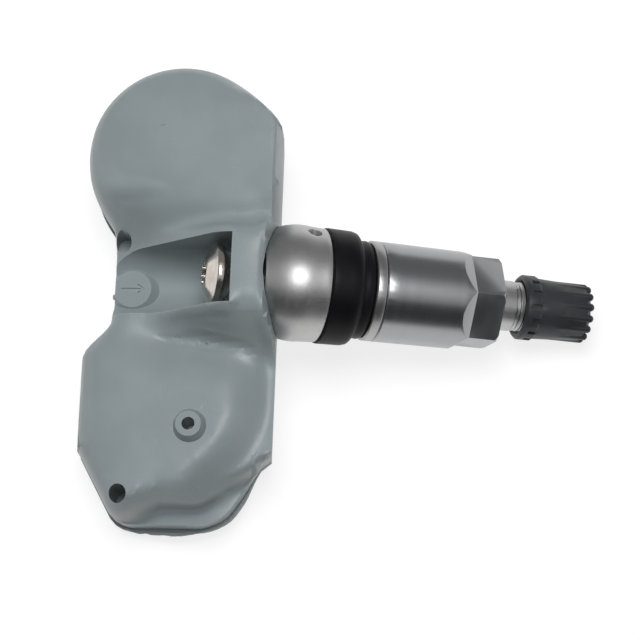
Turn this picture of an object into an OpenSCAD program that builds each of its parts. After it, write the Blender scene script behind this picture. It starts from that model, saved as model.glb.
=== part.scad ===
// Tyre pressure sensor with a clamp-in metal valve.
// Millimetres. The model lies as it rests on a table: on the left edge of its base and on the valve cap.
// The housing is drawn in its own frame, base at z = 0 and the ball centre above the origin.
// The valve is drawn along +X from the ball centre, then tilted by valve_angle.

/* [Housing outline] */
// distance from the ball centre back to the flat wall that the valve leaves
wall_back = 2.4; // [2:0.1:3]
// width of the housing from the flat wall to the left side
housing_w = 31.3; // [30:0.1:33]
// radius of the round end
round_r = 15.4; // [15:0.1:16]
// height of the round end's centre above the valve line
round_y = 19.7; // [19:0.1:21]
// end of the flat wall towards the round end
wall_top_y = 24.1; // [23:0.1:25]
// end of the flat wall towards the chamfered end
wall_low_y = -26.3; // [-27:0.1:-26]
// distance from the valve line to the chamfered end
low_end = 37.6; // [37:0.1:39]
// slope of the low chamfer on the left side
low_chamfer_a = 29; // [27:0.5:31]
// slope of the low chamfer that starts at the flat wall
wall_chamfer_a = 34.5; // [33:0.5:36]
// how far the waist is nicked in on the left side
waist_in = 4.3; // [3:0.1:5]
// how far the flat wall leans in at the base
wall_lean = 1.4; // [1:0.1:1.6]

/* [Housing heights] */
// height of the ball centre above the base
ball_z = 10.6; // [10.3:0.1:11.2]
// thickness of the welded base cover
cover_t = 1.8; // [1.4:0.1:2]
// how far the cover's rim stands out from the shell
cover_lip = 0.4; // [0.2:0.1:0.6]
// height where the straight skirt ends
skirt_z = 5.2; // [4.5:0.1:6.5]
// height of the skirt around the round end
dome_skirt = 8.6; // [8:0.1:9.5]
// height of the round end's flat top
dome_z = 18.6; // [17.5:0.1:19.2]
// height of the saddle over the ball seat
saddle_z = 19.9; // [19.8:0.1:20.6]
// height of the lower plateau
plateau_z = 14; // [13:0.1:15]
// height of the floor beside the plateau and in the valley
valley_z = 10.2; // [10:0.1:11]
// width of the soft edge around the top
edge_w = 5.6; // [4:0.1:7]
// width of the low ledge around the chamfered end
ledge_w = 2.2; // [1.4:0.1:2.6]

/* [Housing details] */
// radius of the driver groove
groove_r = 5.5; // [5.3:0.1:6]
// radius of the round date pad
pad_r = 2.95; // [2.5:0.05:3.2]
// distance of the date pad from the valve's ball centre
pad_x = 26.1; // [25:0.1:27]
// height of the pad above the groove floor
pad_h = 1.4; // [1:0.1:2.2]
// pressure port bore
port_d = 2; // [1.6:0.1:2.4]
// height of the port's cone over the plateau
port_h = 1.6; // [1:0.1:2]
// locating hole diameter
locator_d = 2.8; // [2.4:0.1:3]
// locating hole depth
locator_depth = 3.5; // [2.5:0.1:4]

/* [Valve] */
// angle of the valve below the base plane
valve_angle = 21; // [18:0.5:23]
// diameter of the ball collar
ball_d = 18.1; // [17.8:0.1:18.3]
// length of the collar in front of the ball centre
collar_l = 3.9; // [3.5:0.1:4.2]
// depth of the ball behind its centre
ball_back = 6.2; // [5.8:0.1:6.4]
// diameter of the thread that carries the union nut
nut_thread_d = 10; // [9:0.1:10.5]
// diameter of the valve thread under the cap
valve_thread_d = 7.7; // [7.6:0.05:7.8]
// distance from the ball centre to the valve's tip
stem_l = 45.4; // [45:0.1:46]
// diameter of the passage through the valve
air_d = 2.4; // [2:0.1:2.6]

/* [Seal and nut] */
// diameter of the rubber seal's wide ring
seal_d = 18; // [17.6:0.1:18.4]
// diameter of the seal's lip
lip_d = 15.7; // [15.6:0.1:16]
// diameter of the seal's neck that fills the rim hole
neck_d = 11.3; // [11.1:0.1:11.5]
// diameter of the nut and washer
nut_d = 15.6; // [15.4:0.1:15.6]
// width across the nut's flats
nut_af = 13; // [12.8:0.1:13.4]
// length of the union nut
nut_l = 19.2; // [18.8:0.1:19.6]
// where the nut stands in its turn
nut_phase = 4; // [0:1:59]

/* [Clamp screw] */
// diameter of the screw head
head_d = 10; // [9.6:0.1:10.2]
// diameter of the screw's stud
stud_d = 5; // [4.8:0.1:5.2]
// distance from the ball centre to the head's seat
seat_r = 11.1; // [10.9:0.05:11.3]
// diameter of the air hole through the screw
screw_bore_d = 1.9; // [1.6:0.1:2]
// diameter over the driver recess
recess_d = 3.5; // [3.2:0.1:3.7]

/* [Cap] */
// how far the cap's mouth stands behind the valve's tip
cap_over = 9.2; // [8.9:0.1:9.4]
// length of the cap
cap_l = 11.4; // [11.2:0.1:12]
// diameter of the mouth flange
cap_flange_d = 10.2; // [10:0.1:10.4]
// number of grip ribs
cap_ribs = 14; // [10:1:16]

/* [Electronics] */
// coin cell diameter
cell_d = 20; // [18:0.5:20]
// coin cell thickness
cell_h = 5; // [4:0.1:5]
// circuit board thickness
board_t = 1; // [0.8:0.1:1.2]

/* [Hidden] */

$fn = 64;

// fits and small clearances
ball_gap = 0.08;
thread_gap = 0.03;
slip_gap = 0.1;
seat_gap = 0.05;

// housing lines
x_wall = -wall_back;
x_left = x_wall - housing_w;
x_spine = x_wall - 15.8;
round_x = x_left + round_r;
x_waist = x_left + waist_in;
// points along the flat wall and around each end
wall_n = 56;
cap_n = 34;
edge_rings = [0, 0.12, 0.4, 0.8, 1.4, 2.2, 2.8, 3.6, 4.8, 6.3];
rings_n = 23;

function mix(a, b, t) = a + (b - a) * t;
function clamp01(t) = min(1, max(0, t));
function ease(t) = let (c = clamp01(t)) c * c * (3 - 2 * c);
// soft lower and upper bound of two heights
function soft_min(a, b, k) = let (h = clamp01(0.5 + (b - a) / (2 * k))) mix(b, a, h) - k * h * (1 - h);
function soft_max(a, b, k) = -soft_min(-a, -b, k);

// left side of the outline: round end, waist and lower lobe
function round_side(y) =
    let (d = y - round_y) round_x - sqrt(max(0, round_r * round_r - d * d));
function left_x(y) = y > 0
    ? -soft_max(-round_side(y), -x_waist, 1.2)
    : x_waist - waist_in * ease((-5.8 - y) / 6.4);

// straight shoulder from the wall's end to the round end
shoulder_dx = x_wall - round_x;
shoulder_dy = wall_top_y - round_y;
shoulder_len = norm([shoulder_dx, shoulder_dy]);
shoulder_a = atan2(shoulder_dy, shoulder_dx) + acos(round_r / shoulder_len);
shoulder_end = atan2(
    round_y + round_r * sin(shoulder_a) - wall_top_y,
    round_x + round_r * cos(shoulder_a) - x_spine
);
function top_reach(a) =
    let (ox = round_x - x_spine, oy = round_y - wall_top_y, along = ox * cos(a) + oy * sin(a))
    a < shoulder_end
        ? (x_wall - x_spine) * cos(shoulder_a) / cos(a - shoulder_a)
        : along + sqrt(round_r * round_r - ox * ox - oy * oy + along * along);

// chamfered end: left and right chamfers and the end itself, with soft corners
function line_reach(a, normal, d) = cos(a - normal) > 0.2 ? d / cos(a - normal) : 60;
function low_reach(a) =
    let (
        left = line_reach(a, 180 + low_chamfer_a, (x_spine - x_left) * cos(low_chamfer_a)),
        right = line_reach(a, 360 - wall_chamfer_a, (x_wall - x_spine - 0.75) * cos(wall_chamfer_a)),
        end = line_reach(a, 270, low_end + wall_low_y)
    )
    soft_min(soft_min(left, end, 3), right, 4);

// the outline runs up the wall, over the round end, down the left side and around the low end
function wall_y(i) = mix(wall_low_y, wall_top_y, i / wall_n);
outline = [
    for (i = [0:wall_n]) [x_wall, wall_y(i)],
    for (i = [1:cap_n - 1])
        let (a = 180 * i / cap_n, r = top_reach(a)) [x_spine + r * cos(a), wall_top_y + r * sin(a)],
    for (i = [wall_n:-1:0]) [left_x(wall_y(i)), wall_y(i)],
    for (i = [1:cap_n - 1])
        let (a = 180 + 180 * i / cap_n, r = low_reach(a)) [x_spine + r * cos(a), wall_low_y + r * sin(a)]
];
outline_n = len(outline);
// index of the spine point that each outline point belongs to
function spine_of(i) =
    i <= wall_n ? i
    : i < wall_n + cap_n ? wall_n
    : i <= 2 * wall_n + cap_n ? 2 * wall_n + cap_n - i
    : 0;
spine = [for (i = [0:wall_n]) [x_spine, wall_y(i)]];
// 1 on the flat wall, fading to 0 around the ends, where the top edge is soft
function wallness(i) =
    i <= wall_n ? 1
    : i < wall_n + cap_n ? 1 - ease(4 * (i - wall_n) / cap_n)
    : i <= 2 * wall_n + cap_n ? 0
    : 1 - ease(5 * (outline_n - i) / cap_n);

// where the flat wall stands at a height, against its top edge
function lean_at(z) = wall_lean * max(0, 1 - z / 12.4);
// skirt height: low around the chamfered end, higher around the round end
function skirt_f(y) = mix(skirt_z, dome_skirt, ease((y - 4) / 11));
// ledge around the chamfered end, from the end's left corner to the flat wall
function ledge(i) =
    let (t = (i - 2 * wall_n - cap_n) / cap_n)
    t > 0 ? ledge_w * ease((t - 0.26) / 0.17) * ease((1 - t) / 0.26) : 0;

// heights of the top skin
function ridge_f(x) = saddle_z - 0.74 * soft_max(0, -11 - x, 1.6);
function dome_f(x, y) =
    let (
        across = y > 8.7 ? (y - 8.7) / 2.7 : (8.7 - y) / 1.3,
        crease = 1.9 * ease((x + 22) / 12) * exp(-across * across)
    )
    mix(ridge_f(x), dome_z, ease((y - 4.5) / 9.5)) - crease;
function plateau_f(x, y) =
    let (
        bend = max(0, -y - 19.5),
        right = ease((-2.9 - 0.05 * bend * bend - x) / 6.4),
        top = ease((-8.8 - y) / 6.6),
        floor = valley_z + 2.4 * ease((-19 - x) / 7)
    )
    mix(floor, plateau_z, right * top);
function saddle_f(x, y) =
    let (reach = mix(11.5, 15.5, ease((x + 17) / 14)), t = ease((reach + y) / (reach - 5.2)))
    mix(valley_z - 4, ridge_f(x), t);
function top_f(x, y) =
    y > -3 ? max(dome_f(x, y), 7) : soft_max(plateau_f(x, y), saddle_f(x, y), 4.4);
// soft edge over the skirt, tight along the flat wall
function edge_f(y, d, w, led) =
    let (
        foot = skirt_f(y),
        width = mix(edge_w, 0.9 + 1.7 * exp(-y * y / 60), w),
        rise = mix(10.5, saddle_z + 0.6 - foot, w),
        in = max(0, d - led),
        t = 1 - min(1, in / width)
    )
    foot + 0.25 * min(d, led) + rise * sqrt(1 - t * t) + max(0, in - width) * 0.5;
function skin_z(x, y, d, w, led) =
    let (soft = mix(3.4, 1 + 1.4 * exp(-y * y / 60), w))
    max(skirt_f(y) * 0.999, soft_min(top_f(x, y), edge_f(y, d, w, led), soft));

// a ring of the outline at height z, drawn in by d but flush along the flat wall
function base_ring(d, z) = [
    for (i = [0:outline_n - 1])
        let (s = spine[spine_of(i)], v = outline[i] - s, r = norm(v), w = wallness(i), p = s + v * (r - d * (1 - w)) / r)
        [p[0] - w * lean_at(z), p[1], z]
];
// inset of a ring: fixed steps over the soft edge, then even steps to the spine
function inset(k, r) =
    let (e = len(edge_rings) - 1)
    k <= e ? edge_rings[k] : mix(edge_rings[e], r, (k - e) / (rings_n - e));
function lift(points, z) = [for (p = points) [p[0], p[1], z]];

// closes a stack of rings with strips to the spine at the bottom and the top
module ring_stack(stack, spine_low, spine_high) {
    n = outline_n;
    levels = len(stack);
    low = levels * n;
    high = low + wall_n + 1;
    points = [for (level = stack) for (p = level) p, for (p = spine_low) p, for (p = spine_high) p];
    walls = [
        for (k = [0:levels - 2]) for (i = [0:n - 1])
            let (
                j = (i + 1) % n, a = k * n + i, b = k * n + j, c = a + n, d = b + n,
                level = abs(points[a][2] - points[d][2]) < abs(points[b][2] - points[c][2])
            )
            for (f = level ? [[a, c, d], [a, d, b]] : [[a, c, b], [b, c, d]]) f
    ];
    ends = [
        for (i = [0:n - 1])
            let (j = (i + 1) % n, si = spine_of(i), sj = spine_of(j), t = (levels - 1) * n)
            for (f = [
                [i, j, low + si],
                if (si != sj) [j, low + sj, low + si],
                [t + j, t + i, high + si],
                if (si != sj) [t + j, high + si, high + sj]
            ]) f
    ];
    polyhedron(points = points, faces = concat(walls, ends));
}

// shell skin: skirt first, then rings that climb and close over the spine
shell_rings = [
    base_ring(cover_lip, cover_t),
    for (k = [0:rings_n - 1]) [
        for (i = [0:outline_n - 1])
            let (
                w = wallness(i),
                s = spine[spine_of(i)],
                v = outline[i] - s,
                r = norm(v) - cover_lip * (1 - w),
                d = inset(k, r),
                p = s + v / norm(v) * (r - d),
                z = k == 0 ? skirt_f(p[1]) : skin_z(p[0], p[1], d, w, ledge(i))
            )
            [p[0] - w * (k == 0 ? lean_at(z) : 0), p[1], z]
    ]
];

// places: housing frame into the resting frame
cell_x = round_x;
cell_y = round_y;
port_x = -14.8;
port_y = -23.5;
locators = [[-27.4, 6.8], [-25.5, -33.9]];
groove_floor = ball_z - groove_r;
chamber_roof = 9.6;
board_z = cover_t + 0.5;
board_top = board_z + board_t;
tab_t = 0.3;
cell_z = board_top + tab_t;
ball_r = ball_d / 2;
cup_r = ball_r + ball_gap;
head_back = 1.9;
dome_rise = 1.4;
// swing of the valve from its drawn angle, down and up
swing_down = 3;
swing_up = 7;

// valve lengths, from the ball centre outwards
seal_start = collar_l;
seal_ring_end = 8.9;
lip_end = 11.05;
washer_start = 11.1;
washer_t = 1.65;
nut_start = washer_start + washer_t + 0.05;
nut_end = nut_start + nut_l;
neck_end = 15.2;
hex_start = nut_end - 4.7;
thread_end = 27;
cap_start = stem_l - cap_over;
cap_end = cap_start + cap_l;
// valve core, from the tip inwards
core_seat = stem_l - 10.4;
core_shoulder = core_seat - 8;
core_chamber_d = 4.6;
core_thread_d = 5.3;
tip_thread = stem_l - 9.4;
cap_floor = cap_end - 1.3;

// resting tilt: the base's left edge and the cap's far rim touch the table
rest_lever = -(x_left + 0.45);
rest_reach = cap_end - 0.9;
rest_rim = 4.6;
rest_tilt = atan(
    (rest_reach * sin(valve_angle) + rest_rim * cos(valve_angle) - ball_z)
    / (rest_lever + rest_reach * cos(valve_angle) - rest_rim * sin(valve_angle))
);
// extents in the resting frame
rest_lift = rest_lever * sin(rest_tilt);
rest_x0 = (x_left + cover_lip) * cos(rest_tilt) - (dome_skirt + 0.6) * sin(rest_tilt);
rest_x1 = -ball_z * sin(rest_tilt) + cap_end * cos(valve_angle - rest_tilt) + 4.2 * sin(valve_angle - rest_tilt);
rest_y0 = -low_end - cover_lip;
rest_y1 = round_y + round_r + cover_lip;

module in_rest_frame() {
    translate([-(rest_x0 + rest_x1) / 2, -(rest_y0 + rest_y1) / 2, rest_lift])
        rotate([0, -rest_tilt, 0])
            children();
}

module in_valve_frame() {
    in_rest_frame()
        translate([0, 0, ball_z])
            rotate([0, valve_angle, 0])
                children();
}

// turns a half profile drawn as [along, radius] around the valve's axis
module turned(profile) {
    rotate([0, 90, 0])
        rotate_extrude()
            polygon([for (p = profile) [p[1], p[0]]]);
}

module rod_x(d, from, to) {
    translate([from, 0, 0])
        rotate([0, 90, 0])
            cylinder(d = d, h = to - from);
}

// driver groove with its convex end wall, the pad left standing in it
module groove_cut() {
    difference() {
        union() {
            difference() {
                union() {
                    translate([-44, 0, ball_z])
                        rotate([0, 90, 0])
                            cylinder(r = groove_r, h = 44 - 6);
                    translate([-44, -groove_r, ball_z])
                        cube([44 - 6, 2 * groove_r, 20]);
                }
                translate([-8.75, -groove_r - 1, ball_z])
                    cube([10, 2 * groove_r + 2, 21]);
            }
            neck_room();
        }
        translate([0, 0, ball_z])
            sphere(r = seat_r);
        translate([-pad_x, 0, groove_floor - 1])
            cylinder(r1 = pad_r + 1.9, r2 = pad_r, h = pad_h + 1);
    }
}

// room under the saddle's lip for the screw head's tapered neck
module neck_room() {
    angle = valve_angle + swing_down + 20.2;
    half = head_d / 2 + 0.35;
    translate([0, 0, ball_z])
        rotate([90, 0, 0])
            rotate([0, 0, 180 - angle])
                rotate_extrude(angle = angle)
                    translate([seat_r - 1, -half])
                        square([3.8, 2 * half]);
}

// round seat for the ball, with room behind its flat back
module ball_seat_cut() {
    translate([0, 0, ball_z])
        difference() {
            sphere(r = cup_r);
            rotate([0, valve_angle - 2, 0])
                translate([-20 - ball_back - 0.85, -15, -15])
                    cube([20, 30, 30]);
        }
}

// slot that lets the stud swing with the valve, round at both ends
module stud_slot_cut() {
    half = stud_d / 2 + slip_gap;
    low = 180 - valve_angle - swing_down;
    translate([0, 0, ball_z])
        rotate([90, 0, 0])
            rotate([0, 0, low]) {
                rotate_extrude(angle = swing_up + swing_down)
                    translate([4, -half])
                        square([seat_r + 1 - 4, 2 * half]);
                for (a = [0, swing_up + swing_down])
                    rotate([0, 0, a])
                        rod_x(2 * half, 4, seat_r + 1);
            }
}

// hollow for the cell, the boards and the sensor
module chamber_cut() {
    translate([cell_x, cell_y, cover_t - 1]) {
        cylinder(r = round_r - 2.5, h = 7 - cover_t + 1);
        cylinder(r = cell_d / 2 + 1.4, h = chamber_roof - cover_t + 1);
    }
    translate([-27.4, -14.5, cover_t - 1])
        cube([18.6, 25, 2.1 + 1]);
    translate([-19.6, -21.8, cover_t - 1])
        linear_extrude(height = chamber_roof - cover_t + 1)
            rounded_plan(21, 16.8, 3);
}

module rounded_plan(w, l, r) {
    offset(r = r, $fn = 24)
        square([w - 2 * r, l - 2 * r], center = true);
}

module housing_shell() {
    color([0.51, 0.55, 0.56])
        in_rest_frame() {
            difference() {
                union() {
                    ring_stack(shell_rings, lift(spine, cover_t), [
                        for (p = spine) [p[0], p[1], top_f(p[0], p[1])]
                    ]);
                    translate([port_x, port_y, plateau_z - 0.8])
                        cylinder(r1 = port_d / 2 + 1.9, r2 = port_d / 2 + 0.95, h = port_h + 0.8);
                }
                groove_cut();
                ball_seat_cut();
                stud_slot_cut();
                chamber_cut();
                translate([port_x, port_y, chamber_roof - 1])
                    cylinder(d = port_d, h = 10);
                for (p = locators)
                    translate([p[0], p[1], 9 - locator_depth])
                        cylinder(d = locator_d, h = 12);
                translate([-pad_x, 0, groove_floor + pad_h - 0.25])
                    date_arrow();
            }
        }
}

// engraved arrow of the date pad
module date_arrow() {
    translate([-1.8, -0.17, 0])
        cube([3.6, 0.34, 1]);
    for (s = [-1, 1])
        translate([1.8, 0, 0])
            rotate([0, 0, 180 + s * 35])
                translate([0, -0.15, 0])
                    cube([1.2, 0.3, 1]);
}

module base_cover() {
    color([0.47, 0.51, 0.52])
        in_rest_frame() {
            difference() {
                ring_stack(
                    [
                        base_ring(0.45, 0),
                        base_ring(0, 0.45),
                        base_ring(0, cover_t)
                    ],
                    lift(spine, 0),
                    lift(spine, cover_t)
                );
                ball_seat_cut();
                for (y = [-24, 19.7])
                    translate([x_spine, y, -1])
                        cylinder(r = 2.5, h = 1.25);
            }
            for (p = board_posts)
                translate([p[0], p[1], cover_t])
                    cylinder(d = 2.4, h = board_z - cover_t);
        }
}
board_posts = [[-26.5, 24], [-10.8, 24], [-18, 2], [-27.5, -16], [-11.8, -16], [-18, -28.5]];

// board plan: under the cell, through the waist and under the sensor
module circuit_board() {
    color([0.1, 0.35, 0.2])
        in_rest_frame()
            translate([0, 0, board_z])
                linear_extrude(height = board_t)
                    difference() {
                        union() {
                            translate([cell_x, cell_y])
                                circle(r = round_r - 2.9);
                            translate([-26.6, -14])
                                square([17, 24]);
                            translate([-19.6, -21.8])
                                rounded_plan(20.2, 16, 2.8);
                        }
                        translate([-18.5, -9])
                            circle(d = 1.6);
                    }
}

module coin_cell() {
    color([0.75, 0.75, 0.74])
        in_rest_frame()
            translate([cell_x, cell_y, cell_z])
                rotate_extrude()
                    polygon([
                        [0, 0],
                        [cell_d / 2 - 1.6, 0],
                        [cell_d / 2 - 1.6, 0.35],
                        [cell_d / 2 - 0.4, 0.35],
                        [cell_d / 2, 0.8],
                        [cell_d / 2, cell_h - 0.3],
                        [cell_d / 2 - 0.3, cell_h],
                        [0, cell_h]
                    ]);
}

module cell_tab_top() {
    color([0.8, 0.8, 0.78])
        in_rest_frame()
            translate([cell_x, cell_y, 0])
                rotate([0, 0, 245]) {
                    translate([-3, -1.5, cell_z + cell_h])
                        cube([cell_d / 2 + 3.9, 3, tab_t]);
                    translate([cell_d / 2 + 0.6, -1.5, board_top])
                        cube([tab_t, 3, cell_z + cell_h + tab_t - board_top]);
                }
}

module cell_tab_bottom() {
    color([0.8, 0.8, 0.78])
        in_rest_frame()
            translate([cell_x, cell_y, board_top])
                rotate([0, 0, 290])
                    translate([-6, -1.5, 0])
                        cube([cell_d / 2 + 7.4, 3, tab_t]);
}

// a box part that sits on the board
module on_board(x, y, w, l, h, turn = 0) {
    translate([x, y, board_top])
        rotate([0, 0, turn])
            translate([-w / 2, -l / 2, 0])
                cube([w, l, h]);
}

module pressure_chip() {
    color([0.12, 0.12, 0.13])
        in_rest_frame()
            difference() {
                on_board(port_x, port_y, 5.4, 5.4, 2.2);
                translate([port_x, port_y, board_top + 1.4])
                    cylinder(d = 1.4, h = 2);
            }
}

module control_chip() {
    color([0.12, 0.12, 0.13])
        in_rest_frame()
            on_board(-23.8, -22, 6, 6, 1.4);
}

module crystal() {
    color([0.8, 0.8, 0.78])
        in_rest_frame()
            on_board(-23.8, -27, 4.2, 2.2, 1);
}

// ferrite core with its winding
module lf_coil() {
    color([0.25, 0.22, 0.2])
        in_rest_frame() {
            for (s = [-1, 1])
                on_board(-18.5 + s * 3.4, -16.2, 1.2, 3.2, 3);
            translate([-22, -16.2, board_top + 1.5])
                rotate([0, 90, 0])
                    cylinder(d = 2.6, h = 7);
        }
}

// loop of flat wire that stands on the board
module rf_antenna() {
    color([0.75, 0.55, 0.3])
        in_rest_frame() {
            on_board(-28, -21.8, 0.6, 11.4, 0.6);
            for (s = [-1, 1])
                on_board(-28, -21.8 + s * 5.4, 0.6, 0.6, 5.4);
            translate([-28.3, -27.5, board_top + 5])
                cube([0.6, 11.4, 0.6]);
        }
}

module capacitors() {
    color([0.6, 0.5, 0.4])
        in_rest_frame()
            for (i = [0:5])
                on_board(-24.4 + i * 2.5, -5.5, 1.2, 2, 0.55);
}

module port_seal() {
    color([0.1, 0.1, 0.1])
        in_rest_frame()
            translate([port_x, port_y, board_top + 2.2])
                difference() {
                    cylinder(d = 4.2, h = chamber_roof - board_top - 2.2);
                    translate([0, 0, -1])
                        cylinder(d = 1.8, h = 10);
                }
}

module port_filter() {
    color([0.9, 0.9, 0.88])
        in_rest_frame()
            translate([port_x, port_y, chamber_roof])
                cylinder(d = port_d - 2 * seat_gap, h = 0.4);
}

// collar with its ball back, then the shaft for the seal, the nut thread and the valve thread
module valve_stem() {
    b = ball_r;
    color([0.78, 0.78, 0.78])
        in_valve_frame()
            difference() {
                turned([
                    [-ball_back, 0],
                    for (i = [0:9])
                        let (s = mix(-ball_back, 1.4, i / 9)) [s, sqrt(b * b - s * s)],
                    [collar_l - 0.25, 0.974 * b],
                    [collar_l, 0.974 * b - 0.25],
                    [collar_l, nut_thread_d / 2 - 1],
                    [neck_end + 0.6, nut_thread_d / 2 - 1],
                    [neck_end + 1.2, nut_thread_d / 2],
                    [thread_end - 1.1, nut_thread_d / 2],
                    [thread_end, valve_thread_d / 2 + 0.1],
                    [tip_thread - 1.1, valve_thread_d / 2 + 0.1],
                    [tip_thread - 0.8, valve_thread_d / 2 - 0.25],
                    [tip_thread - 0.5, valve_thread_d / 2],
                    [tip_thread - 0.2, valve_thread_d / 2 - 0.25],
                    [tip_thread, valve_thread_d / 2],
                    [stem_l - 0.5, valve_thread_d / 2],
                    [stem_l, valve_thread_d / 2 - 0.5],
                    [stem_l, 0]
                ]);
                rod_x(stud_d + 2 * thread_gap, -ball_back - 1, 5);
                rod_x(air_d, 0, stem_l + 1);
                rod_x(core_chamber_d, core_shoulder, stem_l + 1);
                rod_x(core_thread_d, core_seat, stem_l + 1);
                translate([1.4, 0, 0])
                    rotate([-48, 0, 0])
                        translate([0, 0, ball_r - 2.6])
                            cylinder(d = 2.2, h = 5);
            }
}

// rubber seal: wide ring on the collar, lip against the rim, neck through the rim hole
module stem_seal() {
    color([0.07, 0.07, 0.075])
        in_valve_frame()
            turned([
                [seal_start, nut_thread_d / 2 - 1],
                [seal_start, seal_d / 2 - 0.15],
                [seal_start + 0.15, seal_d / 2],
                [seal_ring_end - 1, seal_d / 2 - 0.1],
                [seal_ring_end - 0.3, seal_d / 2 - 0.3],
                [seal_ring_end, seal_d / 2 - 0.6],
                [seal_ring_end, lip_d / 2 - 0.05],
                [seal_ring_end + 0.35, lip_d / 2 - 0.3],
                [lip_end - 0.6, lip_d / 2 - 0.2],
                [lip_end, lip_d / 2 - 0.5],
                [lip_end, neck_d / 2],
                [neck_end - 0.4, neck_d / 2],
                [neck_end, neck_d / 2 - 0.4],
                [neck_end, nut_thread_d / 2 - 1]
            ]);
}

module nut_washer() {
    color([0.85, 0.85, 0.84])
        in_valve_frame()
            turned([
                [washer_start, neck_d / 2 + 0.2],
                [washer_start, nut_d / 2 - 0.25],
                [washer_start + 0.25, nut_d / 2],
                [washer_start + washer_t - 0.15, nut_d / 2],
                [washer_start + washer_t, nut_d / 2 - 0.15],
                [washer_start + washer_t, neck_d / 2 + 0.2]
            ]);
}

// nut turned from bar, then six flats milled with a sloping run-in
module union_nut() {
    flat = nut_af / 2;
    color([0.7, 0.7, 0.71])
        in_valve_frame()
            rotate([nut_phase, 0, 0])
                difference() {
                    turned([
                        [nut_start, neck_d / 2 + 0.3],
                        [nut_start, nut_d / 2 - 0.2],
                        [nut_start + 0.2, nut_d / 2],
                        [hex_start, nut_d / 2 - 0.15],
                        [nut_end - 0.5, nut_d / 2 - 0.25],
                        [nut_end, nut_d / 2 - 0.7],
                        [nut_end, valve_thread_d / 2 + 0.5],
                        [nut_end - 3, valve_thread_d / 2 + 0.5],
                        [nut_end - 4.4, nut_thread_d / 2 + thread_gap],
                        [neck_end + 1, nut_thread_d / 2 + thread_gap],
                        [neck_end + 0.4, neck_d / 2 + 0.3]
                    ]);
                    for (i = [0:5])
                        rotate([30 + 60 * i, 0, 0])
                            translate([0, 6, 0])
                                rotate([90, 0, 0])
                                    linear_extrude(height = 12)
                                        polygon([
                                            [hex_start, flat],
                                            [nut_end + 1, flat],
                                            [nut_end + 1, flat + 4],
                                            [hex_start - 4.2, flat + 4],
                                            [hex_start - 4.2, flat + 2.5]
                                        ]);
                }
}

// hollow screw: low domed head with a six-lobed recess, tapered under the rim
module clamp_screw() {
    h = head_d / 2;
    seat = seat_r + seat_gap;
    back = sqrt(seat * seat - 3.4 * 3.4);
    color([0.72, 0.7, 0.66])
        in_valve_frame()
            difference() {
                turned([
                    [-seat - head_back - dome_rise, 0],
                    [-seat - head_back - dome_rise, recess_d / 2 + 0.3],
                    [-seat - head_back - dome_rise * 0.42, h - 1.1],
                    [-seat - head_back - 0.25, h - 0.15],
                    [-seat - head_back, h],
                    [-seat - head_back + 0.7, h],
                    [-back, 3.4],
                    [-sqrt(seat * seat - 9), 3],
                    [-sqrt(seat * seat - stud_d * stud_d / 4), stud_d / 2],
                    [3.6, stud_d / 2],
                    [4, stud_d / 2 - 0.4],
                    [4, 0]
                ]);
                rod_x(screw_bore_d, -seat - 8, 6);
                translate([-seat - head_back - dome_rise - 0.5, 0, 0])
                    rotate([0, 90, 0])
                        linear_extrude(height = 3)
                            lobed_recess();
            }
}

module lobed_recess() {
    circle(d = recess_d * 0.76);
    for (i = [0:5])
        rotate(60 * i)
            translate([recess_d * 0.37, 0])
                circle(d = recess_d * 0.26, $fn = 20);
}

module core_barrel() {
    color([0.8, 0.68, 0.4])
        in_valve_frame()
            turned([
                [core_seat + 0.9, 1.15],
                [core_seat + 0.9, core_thread_d / 2 - 0.5],
                [core_seat + 1.4, core_thread_d / 2 - 0.5],
                [core_seat + 1.9, core_thread_d / 2],
                [stem_l - 1.8, core_thread_d / 2],
                [stem_l - 1.4, core_thread_d / 2 - 0.4],
                [stem_l - 1.4, 1.15]
            ]);
}

module core_gasket() {
    color([0.75, 0.2, 0.15])
        in_valve_frame()
            turned([
                [core_seat, 1.3],
                [core_seat, core_thread_d / 2],
                [core_seat + 0.9, core_thread_d / 2],
                [core_seat + 0.9, 1.3]
            ]);
}

// pin with the sealing cup that closes on the barrel's foot
module core_pin() {
    color([0.8, 0.68, 0.4])
        in_valve_frame()
            turned([
                [core_shoulder + 0.6, 0],
                [core_shoulder + 0.6, 0.55],
                [core_seat - 1.8, 0.55],
                [core_seat - 1.8, 1.9],
                [core_seat - 0.35, 1.9],
                [core_seat - 0.05, 1.6],
                [core_seat - 0.05, 0.55],
                [stem_l - 0.5, 0.55],
                [stem_l - 0.3, 0.35],
                [stem_l - 0.3, 0]
            ]);
}

// spring between the valve's shoulder and the sealing cup
module core_spring() {
    coils = 5;
    wire = 0.4;
    length = core_seat - 1.8 - core_shoulder;
    color([0.7, 0.7, 0.7])
        in_valve_frame()
            for (i = [0:coils])
                translate([core_shoulder + wire / 2 + (length - wire) * i / coils, 0, 0])
                    rotate([0, 90, 0])
                        rotate_extrude($fn = 40)
                            translate([1.55, 0])
                                circle(d = wire, $fn = 16);
}

module cap_seal() {
    color([0.08, 0.08, 0.08])
        in_valve_frame()
            rod_x(valve_thread_d, stem_l + 0.02, cap_floor);
}

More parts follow.
